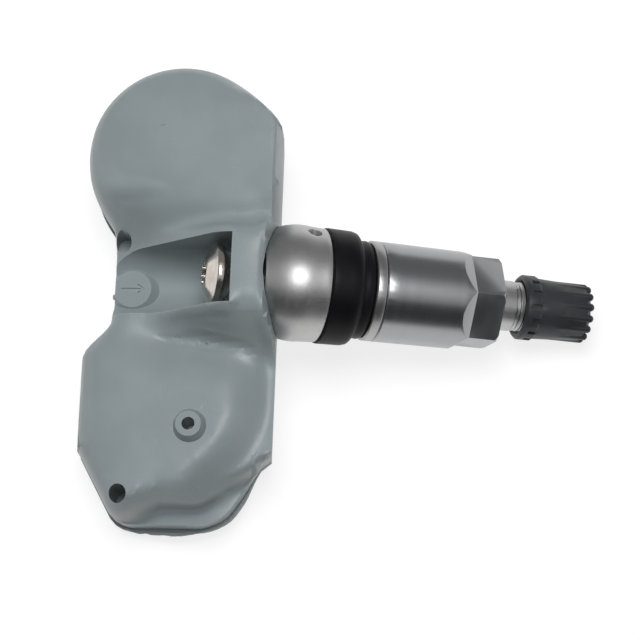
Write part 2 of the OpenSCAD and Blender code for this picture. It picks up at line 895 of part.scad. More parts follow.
// moulded cap: mouth flange with windows, ribs that end in round lobes
module cap_shell() {
    rib_r = 0.62;
    rib_at = 4.02;
    color([0.19, 0.2, 0.21])
        in_valve_frame()
            difference() {
                union() {
                    turned([
                        [cap_start, 0],
                        [cap_start, cap_flange_d / 2 - 0.35],
                        [cap_start + 0.35, cap_flange_d / 2],
                        [cap_start + 2.3, cap_flange_d / 2],
                        [cap_start + 2.6, cap_flange_d / 2 - 0.3],
                        [cap_end - 1.1, 4.4],
                        [cap_end - 0.45, 3.75],
                        [cap_end - 0.45, 0]
                    ]);
                    for (i = [0:cap_ribs - 1])
                        rotate([360 * i / cap_ribs, 0, 0])
                            translate([0, 0, rib_at]) {
                                rod_x(2 * rib_r, cap_start + 2, cap_end - rib_r);
                                translate([cap_end - rib_r, 0, 0])
                                    sphere(r = rib_r, $fn = 32);
                            }
                }
                rod_x(valve_thread_d + 0.1, cap_start - 1, cap_floor);
                turned([
                    [cap_start - 0.1, 0],
                    [cap_start - 0.1, valve_thread_d / 2 + 0.65],
                    [cap_start + 0.6, valve_thread_d / 2 + 0.05],
                    [cap_start + 0.6, 0]
                ]);
                for (i = [0:cap_ribs - 1])
                    rotate([360 * (i + 0.5) / cap_ribs, 0, 0])
                        translate([cap_start + 1.1, -0.45, cap_flange_d / 2 - 0.35])
                            cube([1.6, 0.9, 1]);
            }
}

housing_shell();
base_cover();
circuit_board();
coin_cell();
cell_tab_top();
cell_tab_bottom();
pressure_chip();
control_chip();
crystal();
lf_coil();
rf_antenna();
capacitors();
port_seal();
port_filter();
valve_stem();
stem_seal();
clamp_screw();
nut_washer();
union_nut();
core_barrel();
core_gasket();
core_pin();
core_spring();
cap_seal();
cap_shell();
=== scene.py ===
"""Looks of a tyre pressure sensor with a clamp-in metal valve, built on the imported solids.

Everything is in metres, in the frame of the solids: +X towards the valve cap, +Y towards the round
end of the housing, +Z up from the table that the sensor lies on.
"""

import logging
import math
import random
from collections.abc import Callable
from dataclasses import dataclass, field
from enum import Enum
from typing import Any, ClassVar

import bmesh
import bpy
import numpy as np
from mathutils import Euler, Matrix, Vector, noise
from mathutils.bvhtree import BVHTree

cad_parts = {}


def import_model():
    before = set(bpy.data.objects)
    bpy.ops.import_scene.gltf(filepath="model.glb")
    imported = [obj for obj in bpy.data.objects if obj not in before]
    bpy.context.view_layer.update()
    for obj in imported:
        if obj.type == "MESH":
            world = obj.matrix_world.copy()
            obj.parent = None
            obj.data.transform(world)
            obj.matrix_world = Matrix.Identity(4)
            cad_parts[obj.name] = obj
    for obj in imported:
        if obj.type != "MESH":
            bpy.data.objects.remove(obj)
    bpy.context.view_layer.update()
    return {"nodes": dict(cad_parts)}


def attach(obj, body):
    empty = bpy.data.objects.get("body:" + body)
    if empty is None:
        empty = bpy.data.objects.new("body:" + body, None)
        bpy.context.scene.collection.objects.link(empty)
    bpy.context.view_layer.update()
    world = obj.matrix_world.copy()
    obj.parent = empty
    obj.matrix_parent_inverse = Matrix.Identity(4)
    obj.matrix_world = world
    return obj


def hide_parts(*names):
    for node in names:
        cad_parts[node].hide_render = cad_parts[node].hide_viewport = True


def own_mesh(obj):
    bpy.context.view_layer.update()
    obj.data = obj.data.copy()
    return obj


MM = 0.001
WELD_MM = 0.002
BUMP_MM = 0.1
DUST_COLOUR = (0.62, 0.62, 0.6)
RAY_FROM_MM = 40.0
DOWN = Vector((0.0, 0.0, -1.0))
ROUND_END = Vector((0.0, 1.0, 0.0))
log = logging.getLogger("sensor")
Rgb = tuple[float, float, float]
Place = tuple[float, float, float]
Span = tuple[float, float]
Socket = bpy.types.NodeSocket
Node = bpy.types.Node
Tree = bpy.types.NodeTree
Material = bpy.types.Material
Piece = bpy.types.Object
Mesh = bmesh.types.BMesh
Face = bmesh.types.BMFace
Layer = bmesh.types.BMLayerItem


@dataclass(frozen=True)
class RestFrame:
    """Where the housing's own drawing lies on the table.

    The housing is drawn with its base at height 0 and the ball centre above the origin.
    """

    tilt_deg: float = 7.8966
    shift_mm: Place = (-5.8042, 1.25, 4.5681)
    ball_z_mm: float = 10.6
    valve_angle_deg: float = 21.0

    @property
    def turn(self) -> Matrix:
        """Rotation from the housing's drawing to the table."""
        return Matrix.Rotation(-math.radians(self.tilt_deg), 3, "Y")

    @property
    def axis(self) -> Vector:
        """Unit vector along the valve, from the ball towards the cap."""
        a = math.radians(self.valve_angle_deg)
        return self.turn @ Vector((math.cos(a), 0.0, -math.sin(a)))

    @property
    def ball(self) -> Vector:
        """Centre of the valve's ball, in metres."""
        return self.from_housing(0.0, 0.0, self.ball_z_mm)

    def from_housing(self, x: float, y: float, z: float) -> Vector:
        """Takes a point of the housing's drawing, in millimetres, to the scene.

        Args:
            x: Distance towards the valve.
            y: Distance towards the round end.
            z: Height above the base.

        Returns:
            The point in metres.
        """
        return (self.turn @ Vector((x, y, z)) + Vector(self.shift_mm)) * MM

    def to_housing(self, point: Vector) -> Vector:
        """Takes a point of the scene, in metres, to the housing's drawing in millimetres."""
        return self.turn.inverted() @ (point / MM - Vector(self.shift_mm))

    @property
    def over(self) -> Vector:
        """Unit vector square to the valve's axis, pointing up."""
        return ROUND_END.cross(self.axis) * -1.0


REST = RestFrame()


class Graph:
    """Small helper that adds nodes to a node tree and links them."""

    def __init__(self, tree: Tree) -> None:
        """Keeps the tree that nodes are added to."""
        self.tree = tree

    def add(self, kind: str, inputs: dict[Any, Any] | None = None, **settings: Any) -> Node:
        """Adds a node.

        Args:
            kind: Name of the node type, without the ShaderNode prefix.
            inputs: Values or sockets for the node's inputs, by name or number.
            **settings: Attributes of the node.

        Returns:
            The new node.
        """
        n = self.tree.nodes.new(kind if kind.startswith("Node") else "ShaderNode" + kind)
        for name, value in settings.items():
            setattr(n, name, value)
        for key, value in (inputs or {}).items():
            if isinstance(value, Socket):
                self.tree.links.new(value, n.inputs[key])
            else:
                n.inputs[key].default_value = value
        return n

    def math(self, operation: str, *values: Any, clamp: bool = False) -> Socket:
        """Adds a Math node and gives its result."""
        n = self.add("Math", dict(enumerate(values)), operation=operation, use_clamp=clamp)
        return n.outputs[0]

    def vector(self, operation: str, *values: Any) -> Node:
        """Adds a Vector Math node."""
        return self.add("VectorMath", dict(enumerate(values)), operation=operation)

    def feed(self, node: Node, **sockets: Socket) -> None:
        """Links sockets to a node's inputs, whose names have underscores here for spaces."""
        for name, socket in sockets.items():
            self.tree.links.new(socket, node.inputs[name.replace("_", " ")])

    def fit(self, value: Any, source: Span, target: Span = (0.0, 1.0)) -> Socket:
        """Maps a value from one range to another, smoothly and clamped."""
        (low, high), (to_low, to_high) = source, target
        ends = {"From Min": low, "From Max": high, "To Min": to_low, "To Max": to_high}
        n = self.add("MapRange", {"Value": value, **ends}, interpolation_type="SMOOTHSTEP")
        return n.outputs["Result"]

    def blend(self, share: Any, first: Any, second: Any) -> Socket:
        """Mixes two colours and gives the result."""
        n = self.add("Mix", {"Factor": share}, data_type="RGBA")
        for socket, value in zip((n.inputs[6], n.inputs[7]), (first, second)):
            if isinstance(value, Socket):
                self.tree.links.new(value, socket)
            else:
                socket.default_value = (*value, 1.0)
        return n.outputs[2]

    def place(self) -> Socket:
        """Gives the object coordinates, which are metres in the scene's frame at rest."""
        return self.add("TexCoord").outputs["Object"]

    def from_ball(self) -> Socket:
        """Gives the place as seen from the ball's centre, in metres."""
        return self.vector("SUBTRACT", self.place(), tuple(REST.ball)).outputs["Vector"]

    def dot(self, vector: Any, other: Any) -> Socket:
        """Gives the dot product of two vectors."""
        return self.vector("DOT_PRODUCT", vector, other).outputs["Value"]

    def noise(self, vector: Any, scale: Any, detail: float, roughness: float = 0.5) -> Socket:
        """Adds noise and gives its value."""
        n = self.add("TexNoise", {"Vector": vector, "Scale": scale, "Detail": detail, "Roughness": roughness})
        return n.outputs["Fac"]

    def line_noise(self, place: Any, detail: float, roughness: float = 0.5) -> Socket:
        """Adds noise along a line and gives its value."""
        values = {"W": place, "Scale": 1.0, "Detail": detail, "Roughness": roughness}
        return self.add("TexNoise", values, noise_dimensions="1D").outputs["Fac"]

    def seen(self) -> Socket:
        """Gives 1 to rays from the camera or off a glossy or clear surface, and 0 to the others."""
        path = self.add("LightPath").outputs
        bounced = self.math("MAXIMUM", path["Is Glossy Ray"], path["Is Transmission Ray"])
        return self.math("MAXIMUM", path["Is Camera Ray"], bounced)


def blank_material(name: str) -> tuple[Material, Graph]:
    """Makes a material with an empty graph."""
    material = bpy.data.materials.new(name)
    material.use_nodes = True
    material.node_tree.nodes.clear()
    return material, Graph(material.node_tree)


def new_object(mesh: Mesh, name: str, material: Material) -> Piece:
    """Turns a mesh into an object of the scene, and frees the mesh."""
    data = bpy.data.meshes.new(name)
    mesh.to_mesh(data)
    mesh.free()
    data.materials.append(material)
    made = bpy.data.objects.new(name, data)
    bpy.context.scene.collection.objects.link(made)
    return made


class Effect(Enum):
    """Effects that several finishes share, each one a shader node group."""

    GRAIN = "moulded_grain"
    WEAR = "edge_wear"
    LATHE = "lathe_lines"
    BLAST = "blasted_skin"
    DUST = "fine_dust"


class Effects:
    """Builds each shared effect once and places it in materials."""

    CELL_SHARE = 0.7
    SOFT_SCALE = 0.6
    ROUGH_SHARE = 0.6
    MOTTLE: Span = (0.35, 0.65)
    EDGE_BEND: Span = (0.012, 0.16)
    EDGE_KEPT: Span = (0.36, 0.62)
    LINES_PER_STREAK = 9.0
    STREAK: Span = (0.3, 0.7)
    SPECKS_PER_M = 900.0
    SPECK_SIZE: Span = (0.16, 0.05)
    SPECK_PATCHES: Span = (0.56, 0.7)

    def __init__(self) -> None:
        """Builds the groups."""
        self.groups = {
            Effect.GRAIN: self._grain(),
            Effect.WEAR: self._wear(),
            Effect.LATHE: self._lathe(),
            Effect.BLAST: self._blast(),
            Effect.DUST: self._dust(),
        }

    @staticmethod
    def _group(
        effect: Effect, inputs: dict[str, float], outputs: list[str]
    ) -> tuple[Graph, bpy.types.NodeOutputs, Node]:
        """Starts a group.

        Args:
            effect: The effect, whose value names the group.
            inputs: Names and default values of the inputs.
            outputs: Names of the outputs, all plain values.

        Returns:
            The graph, the sockets of its inputs and its output node.
        """
        tree = bpy.data.node_groups.new(effect.value, "ShaderNodeTree")
        for name, value in inputs.items():
            socket = tree.interface.new_socket(name, in_out="INPUT", socket_type="NodeSocketFloat")
            socket.default_value = value
        for name in outputs:
            tree.interface.new_socket(name, in_out="OUTPUT", socket_type="NodeSocketFloat")
        graph = Graph(tree)
        return graph, graph.add("NodeGroupInput").outputs, graph.add("NodeGroupOutput")

    def _grain(self) -> Tree:
        """Fine spark-eroded grain of moulded plastic, with slow cloudiness of its colour."""
        g, given, out = self._group(Effect.GRAIN, {"Size": 0.25, "Cloud": 6.0}, ["Height", "Mottle"])
        at = g.place()
        fine = g.math("DIVIDE", 1.0 / MM, given["Size"])
        cells = g.add("TexVoronoi", {"Vector": at, "Scale": fine}, feature="SMOOTH_F1")
        soft = g.noise(at, g.math("MULTIPLY", fine, self.SOFT_SCALE), 4.0)
        height = g.math("MULTIPLY_ADD", cells.outputs["Distance"], self.CELL_SHARE, soft)
        wide = g.noise(at, g.math("DIVIDE", 1.0 / MM, given["Cloud"]), 3.0)
        g.feed(out, Height=height, Mottle=g.fit(wide, self.MOTTLE))
        return g.tree

    def _wear(self) -> Tree:
        """Mask that is 1 on sharp edges, broken up so that it isn't an even line."""
        g, given, out = self._group(Effect.WEAR, {"Radius": 0.2, "Breakup": 0.5}, ["Mask"])
        bevel = g.add("Bevel", {"Radius": g.math("MULTIPLY", given["Radius"], MM)}, samples=4)
        flat = g.add("NewGeometry").outputs["Normal"]
        bend = g.math("SUBTRACT", 1.0, g.dot(bevel.outputs["Normal"], flat))
        broken = g.fit(g.noise(g.place(), 900.0, 5.0, 0.65), self.EDGE_KEPT)
        gaps = g.math("MULTIPLY", given["Breakup"], g.math("SUBTRACT", 1.0, broken))
        kept = g.math("SUBTRACT", 1.0, gaps)
        g.feed(out, Mask=g.math("MULTIPLY", g.fit(bend, self.EDGE_BEND), kept, clamp=True))
        return g.tree

    def _lathe(self) -> Tree:
        """Tool lines around the valve's axis, and long streaks that vary between them."""
        g, given, out = self._group(Effect.LATHE, {"Pitch": 0.09, "Wander": 0.3}, ["Height", "Streak"])
        at = g.from_ball()
        steps = g.math("DIVIDE", g.math("DIVIDE", g.dot(at, tuple(REST.axis)), MM), given["Pitch"])
        drift = g.math("MULTIPLY", g.noise(at, 130.0, 2.0), given["Wander"])
        line = g.line_noise(g.math("ADD", steps, drift), 4.0, 0.7)
        slow = g.line_noise(g.math("DIVIDE", steps, self.LINES_PER_STREAK), 2.0)
        g.feed(out, Height=line, Streak=g.fit(slow, self.STREAK))
        return g.tree

    def _blast(self) -> Tree:
        """Fine peened skin of blasted metal, with sparkle from its facets."""
        g, given, out = self._group(Effect.BLAST, {"Size": 0.12}, ["Height", "Sparkle"])
        scale = g.math("DIVIDE", 1.0 / MM, given["Size"])
        at = g.place()
        pits = g.add("TexVoronoi", {"Vector": at, "Scale": scale}, feature="F1")
        rough = g.noise(at, g.math("MULTIPLY", scale, 0.5), 3.0)
        height = g.math("MULTIPLY_ADD", rough, self.ROUGH_SHARE, pits.outputs["Distance"])
        split = g.add("SeparateColor", {"Color": pits.outputs["Color"]})
        g.feed(out, Height=height, Sparkle=split.outputs[0])
        return g.tree

    def _dust(self) -> Tree:
        """Sparse pale specks, a little denser on what faces up."""
        g, given, out = self._group(Effect.DUST, {"Amount": 0.3}, ["Mask"])
        at = g.place()
        specks = g.add("TexVoronoi", {"Vector": at, "Scale": self.SPECKS_PER_M, "Randomness": 1.0})
        spot = g.fit(specks.outputs["Distance"], self.SPECK_SIZE)
        chance = g.fit(g.noise(at, 260.0, 4.0, 0.7), self.SPECK_PATCHES)
        up = g.add("SeparateXYZ", {"Vector": g.add("NewGeometry").outputs["Normal"]}).outputs["Z"]
        facing = g.fit(up, (-0.2, 0.8), (0.2, 1.0))
        mask = g.math("MULTIPLY", g.math("MULTIPLY", spot, chance), facing)
        g.feed(out, Mask=g.math("MULTIPLY", mask, given["Amount"], clamp=True))
        return g.tree

    def use(self, graph: Graph, effect: Effect, **values: Any) -> Node:
        """Places an effect in a material.

        Args:
            graph: The material's graph.
            effect: Which effect.
            **values: The group's inputs by name.

        Returns:
            The group node.
        """
        node = graph.add("Group", node_tree=self.groups[effect])
        for name, value in values.items():
            node.inputs[name].default_value = value
        return node


@dataclass(frozen=True)
class Finish:
    """Base of all finishes: a named Principled material."""

    name: str
    colour: Rgb
    roughness: float
    metallic: float = 0.0

    def build(self, effects: Effects) -> Material:
        """Builds the material.

        Args:
            effects: The shared effects.

        Returns:
            The material.
        """
        material, graph = blank_material(self.name)
        values = {"Base Color": (*self.colour, 1.0), "Roughness": self.roughness, "Metallic": self.metallic}
        shader = graph.add("BsdfPrincipled", values)
        graph.add("OutputMaterial", {"Surface": shader.outputs["BSDF"]})
        self.wire(graph, shader, effects)
        return material

    def wire(self, g: Graph, shader: Node, effects: Effects) -> None:
        """Adds the nodes that make the kind of finish.

        Args:
            g: The material's graph.
            shader: Its Principled node.
            effects: The shared effects.
        """
        raise NotImplementedError

    def tint(self, factor: float) -> Rgb:
        """Gives the finish's colour made lighter or darker."""
        return tuple(min(1.0, c * factor) for c in self.colour)  # type: ignore[return-value]


@dataclass(frozen=True)
class MouldedPlastic(Finish):
    """Moulded plastic or rubber with a fine grain, cloudiness, worn edges and dust."""

    grain_mm: float = 0.22
    grain_depth_mm: float = 0.012
    cloud: float = 0.05
    cloud_mm: float = 7.0
    edge_mm: float = 0.3
    edge_light: float = 1.25
    edge_polish: float = -0.08
    dust: float = 0.25
    specular: float = 0.5

    def wire(self, g: Graph, shader: Node, effects: Effects) -> None:
        """Wires grain, cloudy colour, pale edges and dust."""
        grain = effects.use(g, Effect.GRAIN, Size=self.grain_mm, Cloud=self.cloud_mm)
        wear = effects.use(g, Effect.WEAR, Radius=self.edge_mm, Breakup=0.55)
        dust = effects.use(g, Effect.DUST, Amount=self.dust)
        mottle, edge = grain.outputs["Mottle"], wear.outputs["Mask"]
        colour = g.blend(mottle, self.tint(1.0 - self.cloud), self.tint(1.0 + self.cloud))
        colour = g.blend(edge, colour, self.tint(self.edge_light))
        colour = g.blend(dust.outputs["Mask"], colour, DUST_COLOUR)
        rough = g.math("MULTIPLY_ADD", mottle, 0.07, self.roughness - 0.03)
        depth = {"Distance": self.grain_depth_mm * MM, "Strength": 0.8}
        bump = g.add("Bump", {"Height": grain.outputs["Height"], **depth})
        rough = g.math("MULTIPLY_ADD", edge, self.edge_polish, rough)
        g.feed(shader, Base_Color=colour, Roughness=rough, Normal=bump.outputs["Normal"])
        shader.inputs["Specular IOR Level"].default_value = self.specular


@dataclass(frozen=True)
class TurnedMetal(Finish):
    """Metal with tool lines around the valve's axis and bright edges."""

    metallic: float = 1.0
    line_mm: float = 0.09
    line_depth_mm: float = 0.004
    streak: float = 0.08
    blast_mm: float = 0.0
    blast_depth_mm: float = 0.006
    edge_mm: float = 0.15
    edge_light: float = 1.18
    edge_polish: float = -0.1
    stain: float = 0.12
    stain_patches: Span = (0.42, 0.75)
    thread_from_mm: float = 0.0
    thread_to_mm: float = 0.0
    thread_fade_mm: float = 0.3
    thread_pitch_mm: float = 0.794
    thread_height: float = 6.0

    def wire(self, g: Graph, shader: Node, effects: Effects) -> None:
        """Wires tool lines, stains, bright edges and, where they are wanted, blasting and a thread."""
        lathe = effects.use(g, Effect.LATHE, Pitch=self.line_mm, Wander=0.4)
        wear = effects.use(g, Effect.WEAR, Radius=self.edge_mm, Breakup=0.3)
        height = g.math("MULTIPLY", lathe.outputs["Height"], self.line_depth_mm / BUMP_MM)
        rough = g.math("MULTIPLY_ADD", lathe.outputs["Streak"], self.streak, self.roughness - self.streak / 2)
        stained = g.fit(g.noise(g.place(), 210.0, 5.0, 0.6), self.stain_patches)
        colour = g.blend(stained, self.colour, self.tint(1.0 - self.stain))
        if self.blast_mm:
            blast = effects.use(g, Effect.BLAST, Size=self.blast_mm)
            height = g.math("MULTIPLY_ADD", blast.outputs["Height"], self.blast_depth_mm / BUMP_MM, height)
            rough = g.math("MULTIPLY_ADD", blast.outputs["Sparkle"], -0.12, g.math("ADD", rough, 0.06))
        if self.thread_to_mm:
            height = g.math("ADD", height, self._thread(g))
        colour = g.blend(wear.outputs["Mask"], colour, self.tint(self.edge_light))
        bump = g.add("Bump", {"Height": height, "Distance": BUMP_MM * MM, "Strength": 1.0})
        rough = g.math("MULTIPLY_ADD", wear.outputs["Mask"], self.edge_polish, rough, clamp=True)
        g.feed(shader, Base_Color=colour, Roughness=rough, Normal=bump.outputs["Normal"])

    def _thread(self, g: Graph) -> Socket:
        """Height of a fine thread between two places along the valve, as a wave that climbs as it turns."""
        at = g.from_ball()
        along = g.math("DIVIDE", g.dot(at, tuple(REST.axis)), MM)
        angle = g.math("ARCTAN2", g.dot(at, tuple(ROUND_END)), g.dot(at, tuple(REST.over)))
        turn = g.math("DIVIDE", angle, 2.0 * math.pi)
        climb = g.math("SUBTRACT", g.math("DIVIDE", along, self.thread_pitch_mm), turn)
        start, end, fade = self.thread_from_mm, self.thread_to_mm, self.thread_fade_mm
        inside = g.math("MULTIPLY", g.fit(along, (start, start + fade)), g.fit(along, (end, end - fade)))
        wave = g.math("MULTIPLY", g.math("PINGPONG", climb, 0.5), inside)
        return g.math("MULTIPLY", wave, self.thread_height)


@dataclass(frozen=True)
class PlainPart(Finish):
    """Small inner part: one colour with a fine unevenness."""

    grain_mm: float = 0.15
    grain_depth_mm: float = 0.004
    dark: float = 0.88
    light: float = 1.1

    def wire(self, g: Graph, shader: Node, effects: Effects) -> None:
        """Wires the fine unevenness."""
        grain = effects.use(g, Effect.GRAIN, Size=self.grain_mm, Cloud=2.0)
        mottle = grain.outputs["Mottle"]
        colour = g.blend(mottle, self.tint(self.dark), self.tint(self.light))
        depth = {"Distance": self.grain_depth_mm * MM, "Strength": 0.6}
        bump = g.add("Bump", {"Height": grain.outputs["Height"], **depth})
        rough = g.math("MULTIPLY_ADD", mottle, 0.1, self.roughness - 0.05)
        g.feed(shader, Base_Color=colour, Roughness=rough, Normal=bump.outputs["Normal"])


@dataclass
class Finishes:
    """All finishes of the sensor, built once."""

    effects: Effects
    built: dict[str, Material] = field(default_factory=dict)

    FINISHES: ClassVar[tuple[Finish, ...]] = (
        MouldedPlastic("housing_plastic", (0.245, 0.285, 0.295), 0.36, grain_depth_mm=0.016, cloud=0.03),
        MouldedPlastic("cover_plastic", (0.205, 0.238, 0.25), 0.46, dust=0.15),
        MouldedPlastic(
            "seam_plastic", (0.255, 0.292, 0.302), 0.38, grain_mm=0.3, grain_depth_mm=0.03,
            edge_mm=0.1, dust=0.0,
        ),
        MouldedPlastic(
            "seal_rubber", (0.006, 0.006, 0.0075), 0.42, grain_mm=0.12, grain_depth_mm=0.006, cloud=0.2,
            edge_mm=0.15, edge_light=2.4, dust=0.12, specular=0.13,
        ),
        MouldedPlastic(
            "cap_plastic", (0.024, 0.027, 0.031), 0.42, grain_mm=0.15, grain_depth_mm=0.01, cloud=0.12,
            edge_mm=0.12, edge_light=2.0, dust=0.2, specular=0.45,
        ),
        MouldedPlastic(
            "soft_rubber", (0.02, 0.02, 0.02), 0.6, grain_mm=0.12, grain_depth_mm=0.006, cloud=0.2,
            edge_mm=0.1, edge_light=1.6, dust=0.1,
        ),
        MouldedPlastic(
            "gasket_red", (0.38, 0.055, 0.035), 0.5, grain_mm=0.1, grain_depth_mm=0.004,
            edge_mm=0.08, dust=0.0,
        ),
        TurnedMetal(
            "stem_aluminium", (0.5, 0.5, 0.497), 0.4, line_depth_mm=0.0006, streak=0.03, blast_mm=0.13,
            blast_depth_mm=0.0015, stain=0.03, thread_from_mm=36.0, thread_to_mm=45.0,
        ),
        TurnedMetal(
            "nut_aluminium", (0.36, 0.365, 0.375), 0.29, line_mm=0.12, line_depth_mm=0.0005,
            streak=0.02, stain=0.04,
        ),
        TurnedMetal("washer_steel", (0.42, 0.42, 0.415), 0.36, line_mm=0.08, line_depth_mm=0.001, streak=0.05),
        TurnedMetal(
            "screw_nickel", (0.66, 0.615, 0.56), 0.2, line_mm=0.1, line_depth_mm=0.003, blast_mm=0.3,
            blast_depth_mm=0.003, stain=0.25,
        ),
        TurnedMetal("core_brass", (0.63, 0.48, 0.22), 0.28),
        PlainPart("board", (0.03, 0.12, 0.06), 0.35),
        PlainPart("cell_steel", (0.62, 0.62, 0.61), 0.28, metallic=1.0),
        PlainPart("tab_nickel", (0.66, 0.63, 0.58), 0.32, metallic=1.0),
        PlainPart("chip_black", (0.02, 0.02, 0.022), 0.5),
        PlainPart("ferrite", (0.045, 0.038, 0.032), 0.7),
        PlainPart("antenna_brass", (0.62, 0.44, 0.2), 0.32, metallic=1.0),
        PlainPart("ceramic", (0.35, 0.25, 0.16), 0.5),
        PlainPart("filter_white", (0.8, 0.8, 0.78), 0.9),
        PlainPart("spring_steel", (0.5, 0.5, 0.5), 0.3, metallic=1.0),
    )

    def get(self, name: str) -> Material:
        """Gives a finish by its name, building it on first use."""
        if name not in self.built:
            finish = next(f for f in self.FINISHES if f.name == name)
            self.built[name] = finish.build(self.effects)
        return self.built[name]


class Edge(Enum):
    """How a solid's edges are shown: angle limit in degrees and bevel in millimetres."""

    MOULDED = (38.0, 0.14)
    TURNED = (30.0, 0.06)
    SMALL = (30.0, 0.03)
    ROUND = (30.0, 0.0)


Dressing = dict[str, tuple[str, Edge]]


def dress(node: Piece, material: Material, edge: Edge) -> None:
    """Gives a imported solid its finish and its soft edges, leaving its own points alone.

    Args:
        node: The solid's object.
        material: Its finish.
        edge: How its edges are shown.
    """
    node.data.materials.clear()
    node.data.materials.append(material)
    node.data.polygons.foreach_set("use_smooth", [True] * len(node.data.polygons))
    weld = node.modifiers.new("weld", "WELD")
    weld.merge_threshold = WELD_MM * MM
    soften(node, edge)


def soften(piece: Piece, edge: Edge) -> None:
    """Rounds a piece's sharp edges with a bevel.

    Args:
        piece: The piece.
        edge: How its edges are shown.
    """
    angle, bevel = edge.value
    if bevel:
        soft = piece.modifiers.new("soft_edges", "BEVEL")
        soft.width = bevel * MM
        soft.segments = 2
        soft.limit_method = "ANGLE"
        soft.angle_limit = math.radians(angle)
        soft.harden_normals = True
        soft.use_clamp_overlap = True


def finished(
    mesh: Mesh, name: str, material: Material, body: str
) -> Piece:
    """Turns a mesh into a piece that rides on a body.

    Args:
        mesh: The mesh, which is freed.
        name: The piece's name.
        material: Its finish.
        body: The body it rides on.

    Returns:
        The piece.
    """
    piece = new_object(mesh, name, material)
    for polygon in piece.data.polygons:
        polygon.use_smooth = True
    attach(piece, body)
    return piece


@dataclass
class SubAssembly:
    """Base of the sub-assemblies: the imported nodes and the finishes."""

    nodes: dict[str, Piece]
    finishes: Finishes

    DRESS: ClassVar[Dressing] = {}

    def dress_nodes(self) -> None:
        """Gives each of the sub-assembly's solids its finish."""
        for name, (finish, edge) in self.DRESS.items():
            dress(self.nodes[name], self.finishes.get(finish), edge)
            log.info("%s: %s, %s edges", name, finish, edge.name.lower())

    def make(self) -> list[Piece]:
        """Builds the pieces that the solids lack."""
        return []


@dataclass
class SkinRelief:
    """Heights of the housing's top skin on a fine grid, in millimetres of its drawing.

    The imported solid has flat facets. Smoothing the heights over a few millimetres gives back the
    flowing skin of the moulding.
    """

    low: Span = (-35.0, -41.0)
    counts: tuple[int, int] = (128, 274)
    step: float = 0.3
    margin_steps: int = 17
    heights: np.ndarray = field(default_factory=lambda: np.zeros(0))
    valid: np.ndarray = field(default_factory=lambda: np.zeros(0))

    def measure(self, tree: BVHTree, skin: set[int]) -> None:
        """Drops a ray at each point of the grid.

        Args:
            tree: The housing's faces.
            skin: Numbers of the faces that belong to the top skin.
        """
        self.heights = np.zeros(self.counts)
        self.valid = np.zeros(self.counts, dtype=bool)
        for i, j in np.ndindex(*self.counts):
            start = Vector((self.low[0] + i * self.step, self.low[1] + j * self.step, RAY_FROM_MM))
            place, _, face, _ = tree.ray_cast(start, DOWN)
            if face is not None and face in skin:
                self.heights[i, j] = place.z
                self.valid[i, j] = True

    def smooth(self, radius: float) -> np.ndarray:
        """Fits a small plane around each point, with weights that fall off over a radius.

        Args:
            radius: Radius of the weights in millimetres.

        Returns:
            The smoothed heights.
        """
        reach = int(3 * radius / self.step)
        kernel = np.exp(-0.5 * (np.arange(-reach, reach + 1) * self.step / radius) ** 2)

        def blur(values: np.ndarray) -> np.ndarray:
            """Blurs along both directions of the grid."""
            for axis in (0, 1):
                values = np.apply_along_axis(np.convolve, axis, values, kernel, mode="same")
            return values

        x, y = np.meshgrid(*(np.arange(n) * self.step for n in self.counts), indexing="ij")
        w = self.valid.astype(float)
        z = self.heights * w
        mass = blur(w) + 1e-9
        mx, my, mz = blur(w * x) / mass, blur(w * y) / mass, blur(z) / mass
        xx = blur(w * x * x) / mass - mx * mx + 1e-4
        yy = blur(w * y * y) / mass - my * my + 1e-4
        xy = blur(w * x * y) / mass - mx * my
        xz, yz = blur(z * x) / mass - mx * mz, blur(z * y) / mass - my * mz
        det = xx * yy - xy * xy
        return mz + (xz * yy - yz * xy) / det * (x - mx) + (yz * xx - xz * xy) / det * (y - my)

    def margin(self) -> np.ndarray:
        """Gives each point's distance from the skin's border, up to 5.1 mm."""
        inside = self.valid.copy()
        total = np.zeros(self.counts)
        for _ in range(self.margin_steps):
            total += inside * self.step
            inner = inside.copy()
            inner[1:] &= inside[:-1]
            inner[:-1] &= inside[1:]
            inner[:, 1:] &= inside[:, :-1]
            inner[:, :-1] &= inside[:, 1:]
            inside = inner
        return total

    def look_up(self, grid: np.ndarray, x: float, y: float) -> float:
        """Reads a grid between its points.

        Args:
            grid: The values.
            x: Place across the housing.
            y: Place along the housing.

        Returns:
            The value there.
        """
        u = min(max((x - self.low[0]) / self.step, 0.0), self.counts[0] - 1.001)
        v = min(max((y - self.low[1]) / self.step, 0.0), self.counts[1] - 1.001)
        i, j = int(u), int(v)
        a, b = u - i, v - j
        near = grid[i, j] * (1 - a) + grid[i + 1, j] * a
        far = grid[i, j + 1] * (1 - a) + grid[i + 1, j + 1] * a
        return float(near * (1 - b) + far * b)


def ease(value: float, low: float, high: float) -> float:
    """Runs smoothly from 0 at low to 1 at high."""
    t = min(1.0, max(0.0, (value - low) / (high - low)))
    return t * t * (3.0 - 2.0 * t)


def circle(sides: int) -> list[Span]:
    """Gives the cosine and the sine of evenly spaced angles around a circle."""
    angles = (2.0 * math.pi * k / sides for k in range(sides))
    return [(math.cos(t), math.sin(t)) for t in angles]


def bridge(mesh: Mesh, rings: list[list[bmesh.types.BMVert]], closed: bool) -> None:
    """Joins rings of points with faces.

    Args:
        mesh: The mesh that the points belong to.
        rings: The rings, all with the same number of points.
        closed: Whether the last ring is joined to the first.
    """
    for low, high in zip(rings, rings[1:] + rings[: int(closed)]):
        for k in range(len(low)):
            after = (k + 1) % len(low)
            mesh.faces.new((low[k], low[after], high[after], high[k]))


